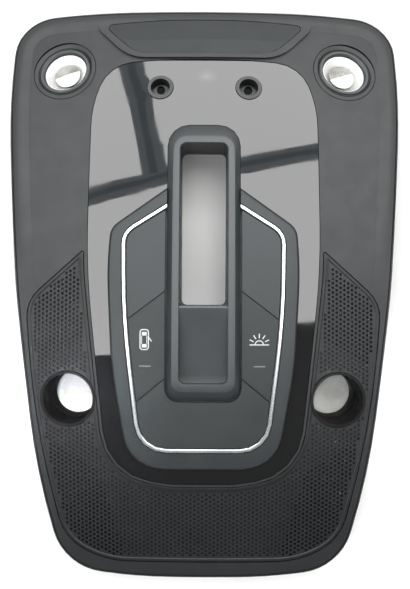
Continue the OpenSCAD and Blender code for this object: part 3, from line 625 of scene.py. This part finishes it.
def finish_of(name):
    """The material of that name, made the first time it is asked for."""
    makers = {
        "bezel": lambda: paint_groove_shade(eroded_plastic(
            "moulded bezel plastic", "#17191a", "#1b1d1e", 0.56, 0.5, 0.022, 0.26)),
        "inlay": lambda: eroded_plastic(
            "moulded inlay plastic", "#151718", "#191b1c", 0.55, 0.4, 0.016, 0.2),
        "window": lambda: eroded_plastic(
            "smoked window plastic", "#1b1e20", "#1f2223", 0.5, 0.3, 0.006, 0.16),
        "collar": lambda: eroded_plastic(
            "moulded collar plastic", "#1d2021", "#212425", 0.5, 0.4, 0.012, 0.3),
        "ring": lambda: eroded_plastic(
            "moulded lamp ring plastic", "#292c2e", "#2e3132", 0.5, 0.4, 0.01, 0.36),
        "switch": lambda: soft_touch_paint("switch surround paint", "#1f2325", "#232728", 0.5, 0.25),
        "button": lambda: soft_touch_paint("button paint", "#1c2021", "#202425", 0.52, 0.23),
        "cover": lambda: soft_touch_paint("lower cover paint", "#1a1e1f", "#1e2223", 0.54, 0.27),
        "rail": lambda: soft_touch_paint("rail paint", "#222628", "#272b2d", 0.5, 0.43),
        "gloss": lambda: piano_black("piano black moulding"),
        "chrome": lambda: satin_chrome("satin chrome trim"),
        "reflector": lambda: reflector_painted_reflection("white reflector"),
        "optic_left": lambda: lamp_optic("left lamp optic", lamp_point(-1), 19),
        "optic_right": lambda: lamp_optic("right lamp optic", lamp_point(1), 19),
        "clear": lambda: clear_polycarbonate("clear polycarbonate"),
        "diffuser": lambda: frosted_diffuser("opal polycarbonate"),
        "housing": lambda: eroded_plastic("black glass-filled nylon", "#141516", "#1b1c1d", 0.5, 0.8, 0.03),
        "socket": lambda: eroded_plastic("black socket plastic", "#070808", "#0b0c0d", 0.55, 0.8, 0.02, 0.1),
        "nylon": lambda: eroded_plastic("natural nylon", "#c9c4b4", "#d6d1c2", 0.45, 0.8, 0.01),
        "board": lambda: circuit_laminate("circuit board laminate"),
        "steel": lambda: zinc_plated_steel("zinc plated steel"),
        "ink": lambda: tampo_ink("light grey ink", "#b9bbba"),
        "faint_ink": lambda: tampo_ink("grey ink", "#5c6061"),
        "table": lambda: white_table("white table"),
    }
    if name not in MATERIALS:
        MATERIALS[name] = makers[name]()
    return MATERIALS[name]


FINISHES = {
    "bezel": ["bezel"],
    "inlay": ["grille_inlay"],
    "window": ["indicator_window"],
    "collar": ["screw_collar_left", "screw_collar_right"],
    "ring": ["lamp_ring_left", "lamp_ring_right"],
    "switch": ["switch_surround", "upper_blank_left", "upper_blank_right"],
    "button": ["door_light_button", "interior_light_button"],
    "cover": ["lower_cover"],
    "rail": ["centre_rail"],
    "gloss": ["gloss_panel"],
    "chrome": ["trim_strip"],
    "reflector": ["lamp_reflector_left", "lamp_reflector_right"],
    "clear": ["lamp_lens_left", "lamp_lens_right", "door_light_guide", "interior_light_guide"],
    "diffuser": ["indicator_diffuser"],
    "housing": ["carrier", "deck_left", "deck_right", "deck_middle", "deck_nose_left",
                "deck_nose_middle", "deck_nose_right", "screw_cup_left", "screw_cup_right",
                "housing_wall", "slot_chute", "rear_cover",
                "lamp_housing_left", "lamp_housing_right", "microphone_left", "microphone_right",
                "door_light_switch", "interior_light_switch"],
    "socket": ["socket_left", "socket_right"],
    "nylon": ["main_connector"],
    "board": ["circuit_board", "lamp_board_left", "lamp_board_right"],
    "steel": ["roof_clips", "bezel_screws", "board_screws", "cover_screws"],
}


# Settings that a user would change

class DomeInlaySettings(bpy.types.PropertyGroup):
    pitch: bpy.props.FloatProperty(
        name="Pitch", description="Distance between neighbouring holes in a column, in millimetres",
        default=2.29, min=1.5, max=5)
    hole: bpy.props.FloatProperty(
        name="Hole", description="Width of a hole across its corners, in millimetres",
        default=1.6, min=0.5, max=3)
    depth: bpy.props.FloatProperty(
        name="Dimple depth", description="Depth of a blind hole, in millimetres",
        default=0.8, min=0.1, max=1.5)


class DomeStageSettings(bpy.types.PropertyGroup):
    lens: bpy.props.FloatProperty(
        name="Lens", description="Focal length in millimetres", default=73.3, min=20, max=200)
    distance: bpy.props.FloatProperty(
        name="Camera distance", description="From the top of the dome to the camera",
        default=0.6, unit="LENGTH")
    ambient: bpy.props.FloatProperty(
        name="Ambient", description="Strength of the even light from all round", default=0.34, min=0)
    key: bpy.props.FloatProperty(
        name="Key", description="Strength of the soft key light in watts", default=52, min=0)
    ceiling: bpy.props.FloatProperty(
        name="Ceiling", description="Brightness of the ceiling that glossy faces reflect",
        default=8.9, min=0)


def settings():
    return bpy.context.scene.dome_inlay, bpy.context.scene.dome_stage


# Pieces

def smooth_shading_group():
    """A node group that welds a mesh and shades it smooth except at edges sharper than 28 degrees."""
    name = "weld_and_smooth"
    if name in bpy.data.node_groups:
        return bpy.data.node_groups[name]
    tree = bpy.data.node_groups.new(name, "GeometryNodeTree")
    tree.interface.new_socket("Geometry", in_out="INPUT", socket_type="NodeSocketGeometry")
    tree.interface.new_socket("Geometry", in_out="OUTPUT", socket_type="NodeSocketGeometry")
    source = add(tree, "NodeGroupInput")
    weld = add(tree, "GeometryNodeMergeByDistance",
               {"Geometry": (source, "Geometry"), "Distance": 0.002 * MM})
    angle = add(tree, "GeometryNodeInputMeshEdgeAngle")
    limit = math.radians(28)
    sharp = add(tree, "FunctionNodeCompare", {0: (angle, "Unsigned Angle"), 1: limit},
                data_type="FLOAT", operation="GREATER_THAN")
    faces = add(tree, "GeometryNodeSetShadeSmooth",
                {"Geometry": (weld, "Geometry"), "Shade Smooth": True}, domain="FACE")
    edges = add(tree, "GeometryNodeSetShadeSmooth",
                {"Geometry": (faces, "Geometry"), "Selection": (sharp, "Result"), "Shade Smooth": False},
                domain="EDGE")
    add(tree, "NodeGroupOutput", {"Geometry": (edges, "Geometry")})
    return tree


class DOME_OT_finishes(bpy.types.Operator):
    """Gives every CAD node its material, and shades the swept mouldings smooth"""

    bl_idname = "dome.finishes"
    bl_label = "Finish the mouldings"

    def execute(self, context):
        for finish, names in FINISHES.items():
            for name in names:
                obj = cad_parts[name]
                obj.data.materials.clear()
                obj.data.materials.append(finish_of(finish))
        for name in ("bezel", "switch_surround", "trim_strip", "centre_rail"):
            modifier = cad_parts[name].modifiers.new("smooth", "NODES")
            modifier.node_group = smooth_shading_group()
        return {"FINISHED"}


# Straight edges of the open zones on the right half: x and y of a point on the edge, and its slope
UPPER_ZONE = (59, -24.8, 0.55)
LOWER_ZONE = (78.7, -75.9, 0.64)
LOWER_ZONE_SIDE = (52.1, -92.9, 0.275)

# Heights of the inlay above the face: underside, field, and the rim as distance from the edge and height
INLAY_LOW = -2.2
FIELD = -0.6
RIM = [(0.0, -0.5), (0.3, -0.2), (1.5, -0.2), (2.0, FIELD)]

# Width of a dimple's floor as a share of its mouth's
DIMPLE_FLOOR = 0.8


def open_zone(x, y):
    """Whether a hole at x, y goes right through; the other holes are dimples."""
    x = abs(x)
    top_x, top_y, top_slope = UPPER_ZONE
    low_x, low_y, low_slope = LOWER_ZONE
    side_x, side_y, side_slope = LOWER_ZONE_SIDE
    upper = y > top_y - top_slope * (x - top_x)
    lower = y < low_y - low_slope * (low_x - x) and x > side_x - side_slope * (side_y - y)
    return upper or lower


def rim_height(outline):
    """Height of the inlay's surface at a point, from its distance to the outline."""
    def height(p):
        gap = min(distance(p, a, b) for a, b in zip(outline, outline[1:] + outline[:1]))
        for (d0, h0), (d1, h1) in zip(RIM, RIM[1:]):
            if gap < d1:
                return h0 + (h1 - h0) * (gap - d0) / (d1 - d0)
        return FIELD
    return height


def distance(p, a, b):
    along = b - a
    k = max(0, min(1, (p - a).dot(along) / along.length_squared))
    return (p - a - along * k).length


class DOME_OT_inlay(bpy.types.Operator):
    """Builds the perforated inlay at its true pitch, with open holes in four zones and dimples elsewhere"""

    bl_idname = "dome.inlay"
    bl_label = "Build the perforated inlay"

    def execute(self, context):
        inlay, _ = settings()
        pitch, radius = inlay.pitch, inlay.hole / 2
        corners = inlay_corners()
        steps, longest = 10, 3.0
        outline = rounded(corners, steps, longest)
        height = rim_height(outline)
        relief = Relief()
        for inset, h in RIM:
            relief.loop(rounded(grown(corners, -inset), steps, longest, corners), h)
        sockets = [Vector((side * SOCKET[0], SOCKET[1])) for side in (1, -1)]
        for centre in sockets:
            relief.loop(ring(centre, SOCKET_HOLE_R, 96), height)
        safe = rounded(grown(corners, -RIM[-1][0] - radius - 0.2), steps, longest, corners)
        through = []
        for p in self.lattice(pitch):
            free = all((p - c).length > SOCKET_HOLE_R + radius + 0.25 for c in sockets)
            if not free or not inside(p, safe):
                continue
            relief.loop(ring(p, radius, 6, math.pi / 6), FIELD)
            if open_zone(p.x, p.y):
                through.append(p)
            else:
                relief.loop(ring(p, radius * DIMPLE_FLOOR, 6, math.pi / 6), FIELD - inlay.depth)
        solid = self.solid(outline, sockets, through, radius, pitch)
        verts, faces = relief.build(solid, INLAY_LOW, height)
        obj = new_object("perforated_inlay", verts, faces, finish_of("inlay"), "console")
        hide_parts("grille_inlay")
        return {"FINISHED"}

    def lattice(self, pitch):
        column = pitch * math.sqrt(3) / 2
        across, front, rear = 92, 22, -142
        for i in range(int(-across / column), int(across / column) + 1):
            for j in range(int(rear / pitch), int(front / pitch) + 1):
                yield Vector((i * column, (j + (i % 2) / 2) * pitch))

    def solid(self, outline, sockets, through, radius, pitch):
        """A test of whether a triangle's middle lies in the plate and not in a hexagonal hole."""
        core = radius * 0.8
        cells = {}
        for p in through:
            cells.setdefault((round(p.x / pitch), round(p.y / pitch)), []).append(p)

        def test(m):
            if any((m - c).length < SOCKET_HOLE_R * 0.999 for c in sockets) or not inside(m, outline):
                return False
            i, j = round(m.x / pitch), round(m.y / pitch)
            near = [p for u in (i - 1, i, i + 1) for v in (j - 1, j, j + 1) for p in cells.get((u, v), ())]
            return all((m - p).length > core for p in near)

        return test


def print_strip(sheet, points, width, h, closed=False):
    """Adds a flat printed line along points, as a thin closed strip on the surface h above the face."""
    count = len(points)
    left, right = [], []
    for i, p in enumerate(points):
        before = points[i - 1] if closed or i > 0 else p
        after = points[(i + 1) % count] if closed or i < count - 1 else p
        a = (p - before) if (p - before).length > 0 else (after - p)
        b = (after - p) if (after - p).length > 0 else (p - before)
        a, b = a.normalized(), b.normalized()
        na, nb = Vector((-a.y, a.x)), Vector((-b.y, b.x))
        side = (na + nb) * (width / 2 / (1 + na.dot(nb)))
        left.append(p + side)
        right.append(p - side)
    film = 0.04
    rows = [
        [sheet.loop([q], lambda x, y, h=h, up=up: h + up)[0] for q in edge]
        for edge, up in ((left, film), (right, film), (right, 0.0), (left, 0.0))
    ]
    last = count if closed else count - 1
    for a, b in zip(rows, rows[1:] + rows[:1]):
        for i in range(last):
            j = (i + 1) % count
            sheet.faces.append((a[i], b[i], b[j], a[j]))
    if not closed:
        sheet.faces.append((rows[0][0], rows[3][0], rows[2][0], rows[1][0]))
        sheet.faces.append((rows[0][-1], rows[1][-1], rows[2][-1], rows[3][-1]))


def arc(centre, r, start_deg, end_deg, steps):
    return [
        Vector((centre[0] + r * math.cos(math.radians(start_deg + (end_deg - start_deg) * k / steps)),
                centre[1] + r * math.sin(math.radians(start_deg + (end_deg - start_deg) * k / steps))))
        for k in range(steps + 1)
    ]


def rounded_box(centre, width, height, r, steps=4):
    x, y = width / 2 - r, height / 2 - r
    points = []
    for cx, cy, begin in ((x, y, 0), (-x, y, 90), (-x, -y, 180), (x, -y, 270)):
        points += arc((centre[0] + cx, centre[1] + cy), r, begin, begin + 90, steps)
    return points


# Height of the button faces above the dome, where the prints lie
PRINT_H = 0.93


class DOME_OT_prints(bpy.types.Operator):
    """Prints the door-light and interior-light pictograms and their indicator bars on the buttons"""

    bl_idname = "dome.prints"
    bl_label = "Print the pictograms"

    def execute(self, context):
        line = 0.5
        door = Sheet()
        x, y = -29.3, -25.2
        print_strip(door, rounded_box((x - 0.2, y), 4.2, 10.0, 1.3), line, PRINT_H, closed=True)
        for dy, height in ((2.9, 1.7), (-3.1, 1.7)):
            print_strip(door, [Vector((x - 1.4, y + dy)), Vector((x + 1.0, y + dy))], height, PRINT_H)
        for dx in (-1.5, 1.1):
            print_strip(door, [Vector((x + dx, y + 1.8)), Vector((x + dx, y - 2.1))], 0.3, PRINT_H)
        print_strip(door, [Vector((x + 1.7, y + 1.6)), Vector((x + 3.5, y - 0.9))], line, PRINT_H)
        self.make("door_light_symbol", door, "ink", "door_light_button")
        light = Sheet()
        x, y = 28.1, -27.6
        print_strip(light, [Vector((x - 4.9, y)), Vector((x + 4.9, y))], line, PRINT_H)
        print_strip(light, arc((x, y), 2.1, 8, 172, 14), line, PRINT_H)
        for w in (26, 58, 90, 122, 154):
            way = Vector((math.cos(math.radians(w)), math.sin(math.radians(w))))
            base = Vector((x, y + 0.2))
            print_strip(light, [base + way * 3.2, base + way * 5.4], line, PRINT_H)
        self.make("interior_light_symbol", light, "ink", "interior_light_button")
        for name, x, body in (("door_light_bar", -29.2, "door_light_button"),
                              ("interior_light_bar", 28.2, "interior_light_button")):
            bar = Sheet()
            print_strip(bar, [Vector((x - 2.9, -38.5)), Vector((x + 2.9, -38.5))], 0.6, PRINT_H)
            self.make(name, bar, "faint_ink", body)
        return {"FINISHED"}

    def make(self, name, sheet, finish, body):
        new_object(name, sheet.verts, sheet.faces, finish_of(finish), body)


class DOME_OT_lamps(bpy.types.Operator):
    """Builds the stepped optics in the reading lamps"""

    bl_idname = "dome.lamps"
    bl_label = "Build the lamp optics"

    def execute(self, context):
        foot, steps, groove = LENS_FOOT, 7, 0.09
        rings = [(0.0, foot + 7.45)]
        for k in range(1, steps):
            r = LENS_R * k / steps
            top = foot + 7.4 - 0.95 * (k / steps) ** 2
            rings += [(r - 0.3, top), (r - 0.2, top - groove),
                      (r + 0.1, top - groove), (r + 0.2, top - 0.03)]
        profile = rings + [(LENS_R, foot + 6.3), (LENS_R, foot + 5.6), (4.6, foot + 4.2),
                           (2.4, foot + 1.05), (0.0, foot + 1.05)]
        for side, name in ((-1, "left"), (1, "right")):
            place = face_frame(side * LAMP[0], LAMP[1], LAMP_LEAN)
            verts, faces = turned(list(reversed(profile)), place, 48)
            lens = new_object("stepped_lens_" + name, verts, faces, finish_of("optic_" + name), "console")
            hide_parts("lamp_lens_" + name)
        return {"FINISHED"}


class DOME_OT_stage(bpy.types.Operator):
    """Makes the table, the lights, the reflected ceiling and the camera"""

    bl_idname = "dome.stage"
    bl_label = "Set the stage"

    def execute(self, context):
        _, stage = settings()
        self.table()
        self.world(stage.ambient)
        self.lights(stage)
        self.ceiling(stage.ceiling)
        self.camera(stage)
        view = context.scene.view_settings
        view.view_transform = "Standard"
        return {"FINISHED"}

    def flat(self, name, corners, material):
        mesh = bpy.data.meshes.new(name)
        mesh.from_pydata([tuple(c) for c in corners], [], [tuple(range(len(corners)))])
        mesh.materials.append(material)
        obj = bpy.data.objects.new(name, mesh)
        bpy.context.scene.collection.objects.link(obj)
        obj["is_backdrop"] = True
        return obj

    def table(self):
        half = 6.0
        corners = [(-half, -half, 0), (half, -half, 0), (half, half, 0), (-half, half, 0)]
        self.flat("table", [Vector(c) - Vector((0, 0, 0.05 * MM)) for c in corners], finish_of("table"))

    def world(self, ambient):
        world = bpy.data.worlds.new("even light")
        bpy.context.scene.world = world
        world.use_nodes = True
        tree = world.node_tree
        tree.nodes.clear()
        ray = add(tree, "ShaderNodeLightPath")
        strength = add(tree, "ShaderNodeMapRange",
                       {"Value": (ray, "Is Camera Ray"), "To Min": ambient, "To Max": 1.0})
        sky = add(tree, "ShaderNodeBackground", {"Color": (1, 1, 1, 1), "Strength": (strength, "Result")})
        add(tree, "ShaderNodeOutputWorld", {"Surface": (sky, "Background")})

    def lights(self, stage):
        for name, place, size, share in (("overhead softbox", (0.1, 0.8, 1.9), 1.1, 0.52),
                                         ("rear fill", (-0.3, -1.1, 2.2), 1.6, 0.28),
                                         ("left fill", (-1.7, -0.2, 1.2), 1.2, 0.56),
                                         ("right fill", (1.7, -0.2, 1.2), 1.2, 0.3)):
            lamp = self.area_light(name, place, size, stage.key * share)
            lamp.rotation_euler = Vector(place).to_track_quat("Z", "Y").to_euler()
        for name, side, watts in (("left socket beam", -1, 0.055), ("right socket beam", 1, 0.014)):
            place = (side * SOCKET[0] * MM, SOCKET[1] * MM, 1.5)
            beam = self.area_light(name, place, 0.03, watts)
            beam.data.spread = math.radians(5)

    def area_light(self, name, place, size, watts):
        """Square light that glossy faces don't reflect."""
        data = bpy.data.lights.new(name, "AREA")
        data.size = size
        data.energy = watts
        lamp = bpy.data.objects.new(name, data)
        lamp.location = place
        lamp.visible_glossy = False
        bpy.context.scene.collection.objects.link(lamp)
        return lamp

    def glow(self, name, strength, colour=(1, 1, 1, 1)):
        """Light-emitting card: a diffusing sheet lit from behind."""
        material = bpy.data.materials.new(name)
        material.use_nodes = True
        tree = material.node_tree
        tree.nodes.clear()
        shine = add(tree, "ShaderNodeEmission", {"Color": colour, "Strength": strength})
        add(tree, "ShaderNodeOutputMaterial", {"Surface": (shine, "Emission")})
        return material

    def reflected_only(self, obj):
        """The card shows in reflections, and neither lights the scene nor stands in the camera's way."""
        obj.visible_camera = False
        obj.visible_diffuse = False
        obj.visible_shadow = False
        obj.visible_transmission = False
        obj.visible_volume_scatter = False

    def ceiling(self, strength):
        height = 1.2
        lit = [(-1.6, -0.13), (-0.36, -0.13), (0.43, 0.015), (0.85, 0.09),
               (2.4, 0.36), (2.4, 3.2), (-1.6, 3.2)]
        bright = self.glow("bright ceiling", strength)
        self.reflected_only(self.flat("bright_ceiling", [(x, y, height) for x, y in lit], bright))
        beams = {
            "left_beam": (
                [(-0.63, 1.95), (-0.516, 1.52), (-0.426, 1.235), (-0.345, 0.92), (-0.305, 0.743)],
                [(-0.45, 1.95), (-0.362, 1.507), (-0.299, 1.261), (-0.245, 1.0), (-0.19, 0.74)]),
            "left_cross_beam": (
                [(-0.76, 0.655), (-0.58, 0.69), (-0.443, 0.723), (-0.305, 0.743), (-0.17, 0.78)],
                [(-0.76, 0.52), (-0.566, 0.578), (-0.457, 0.61), (-0.33, 0.635), (-0.17, 0.70)]),
            "right_beam": (
                [(0.08, 0.81), (0.181, 0.847), (0.396, 0.921), (0.615, 1.005), (0.84, 1.09)],
                [(0.08, 0.69), (0.175, 0.731), (0.384, 0.806), (0.595, 0.885), (0.84, 0.97)]),
        }
        edge_level, core_level = 0.17, 0.11
        core_from, core_to = 0.34, 0.66
        edge = self.glow("beam edge", strength * edge_level, (0.92, 1.0, 1.06, 1))
        core = self.glow("beam core", strength * core_level, (0.9, 1.0, 1.08, 1))
        for name, (one, other) in beams.items():
            outer = [(x, y, height - 0.01) for x, y in one + other[::-1]]
            self.reflected_only(self.flat(name, outer, edge))
            across = list(zip(one, other))
            inner = [self.between(a, b, core_from, height - 0.02) for a, b in across]
            inner += [self.between(a, b, core_to, height - 0.02) for a, b in reversed(across)]
            self.reflected_only(self.flat(name + "_core", inner, core))
        spot_r, steps, peak = 0.09, 32, 1.32
        turns = [math.tau * k / steps for k in range(steps)]
        disc = [(spot_r * math.cos(w), spot_r * math.sin(w), 0) for w in turns]
        lamp = self.flat("ceiling_lamp", disc, self.soft_spot(strength, peak))
        lamp.location = (0.012, 1.533, height - 0.01)
        self.reflected_only(lamp)

    def soft_spot(self, strength, peak):
        """Light-emitting disc that fades from its middle into the ceiling's own brightness."""
        material, tree, place = start("ceiling lamp")
        shrunk = add(tree, "ShaderNodeMapping", {"Vector": place, "Scale": (11.1, 11.1, 11.1)})
        fade = add(tree, "ShaderNodeTexGradient", {"Vector": (shrunk, "Vector")},
                   gradient_type="QUADRATIC_SPHERE")
        level = add(tree, "ShaderNodeMapRange",
                    {"Value": (fade, "Fac"), "To Min": strength, "To Max": strength * peak})
        shine = add(tree, "ShaderNodeEmission", {"Color": (1, 1, 1, 1), "Strength": (level, "Result")})
        add(tree, "ShaderNodeOutputMaterial", {"Surface": (shine, "Emission")})
        return material

    def between(self, a, b, share, z):
        return (a[0] + (b[0] - a[0]) * share, a[1] + (b[1] - a[1]) * share, z)

    def camera(self, stage):
        data = bpy.data.cameras.new("camera")
        data.lens = stage.lens
        data.sensor_width = 36
        data.clip_start = 0.05
        camera = bpy.data.objects.new("camera", data)
        shift, roll = (0.0008, -0.0025), 0.3
        camera.location = (*shift, CROWN_Z * MM + stage.distance)
        camera.rotation_euler = (0, 0, math.radians(roll))
        bpy.context.scene.collection.objects.link(camera)
        bpy.context.scene.camera = camera


class DOME_PT_panel(bpy.types.Panel):
    """Lists the steps that build the looks"""

    bl_label = "Dome Light"
    bl_idname = "DOME_PT_panel"
    bl_space_type = "VIEW_3D"
    bl_region_type = "UI"
    bl_category = "Dome Light"

    def draw(self, context):
        layout = self.layout
        inlay, stage = settings()
        for group in (inlay, stage):
            for name in group.__annotations__:
                layout.prop(group, name)
        for operator in OPERATORS:
            layout.operator(operator.bl_idname)


OPERATORS = (DOME_OT_finishes, DOME_OT_inlay, DOME_OT_prints, DOME_OT_lamps, DOME_OT_stage)
CLASSES = (DomeInlaySettings, DomeStageSettings, *OPERATORS, DOME_PT_panel)


def register():
    for cls in CLASSES:
        bpy.utils.register_class(cls)
    bpy.types.Scene.dome_inlay = bpy.props.PointerProperty(type=DomeInlaySettings)
    bpy.types.Scene.dome_stage = bpy.props.PointerProperty(type=DomeStageSettings)


def unregister():
    del bpy.types.Scene.dome_stage
    del bpy.types.Scene.dome_inlay
    for cls in reversed(CLASSES):
        bpy.utils.unregister_class(cls)


def main():
    register()
    bpy.ops.dome.finishes()
    bpy.ops.dome.inlay()
    bpy.ops.dome.prints()
    bpy.ops.dome.lamps()
    bpy.ops.dome.stage()
    sizes = {"start": START_BOUNDS, "end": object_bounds()}
    plain = {name: [[float(v) for v in corner] for corner in pair] for name, pair in sizes.items()}


if __name__ == "__main__":
    main()
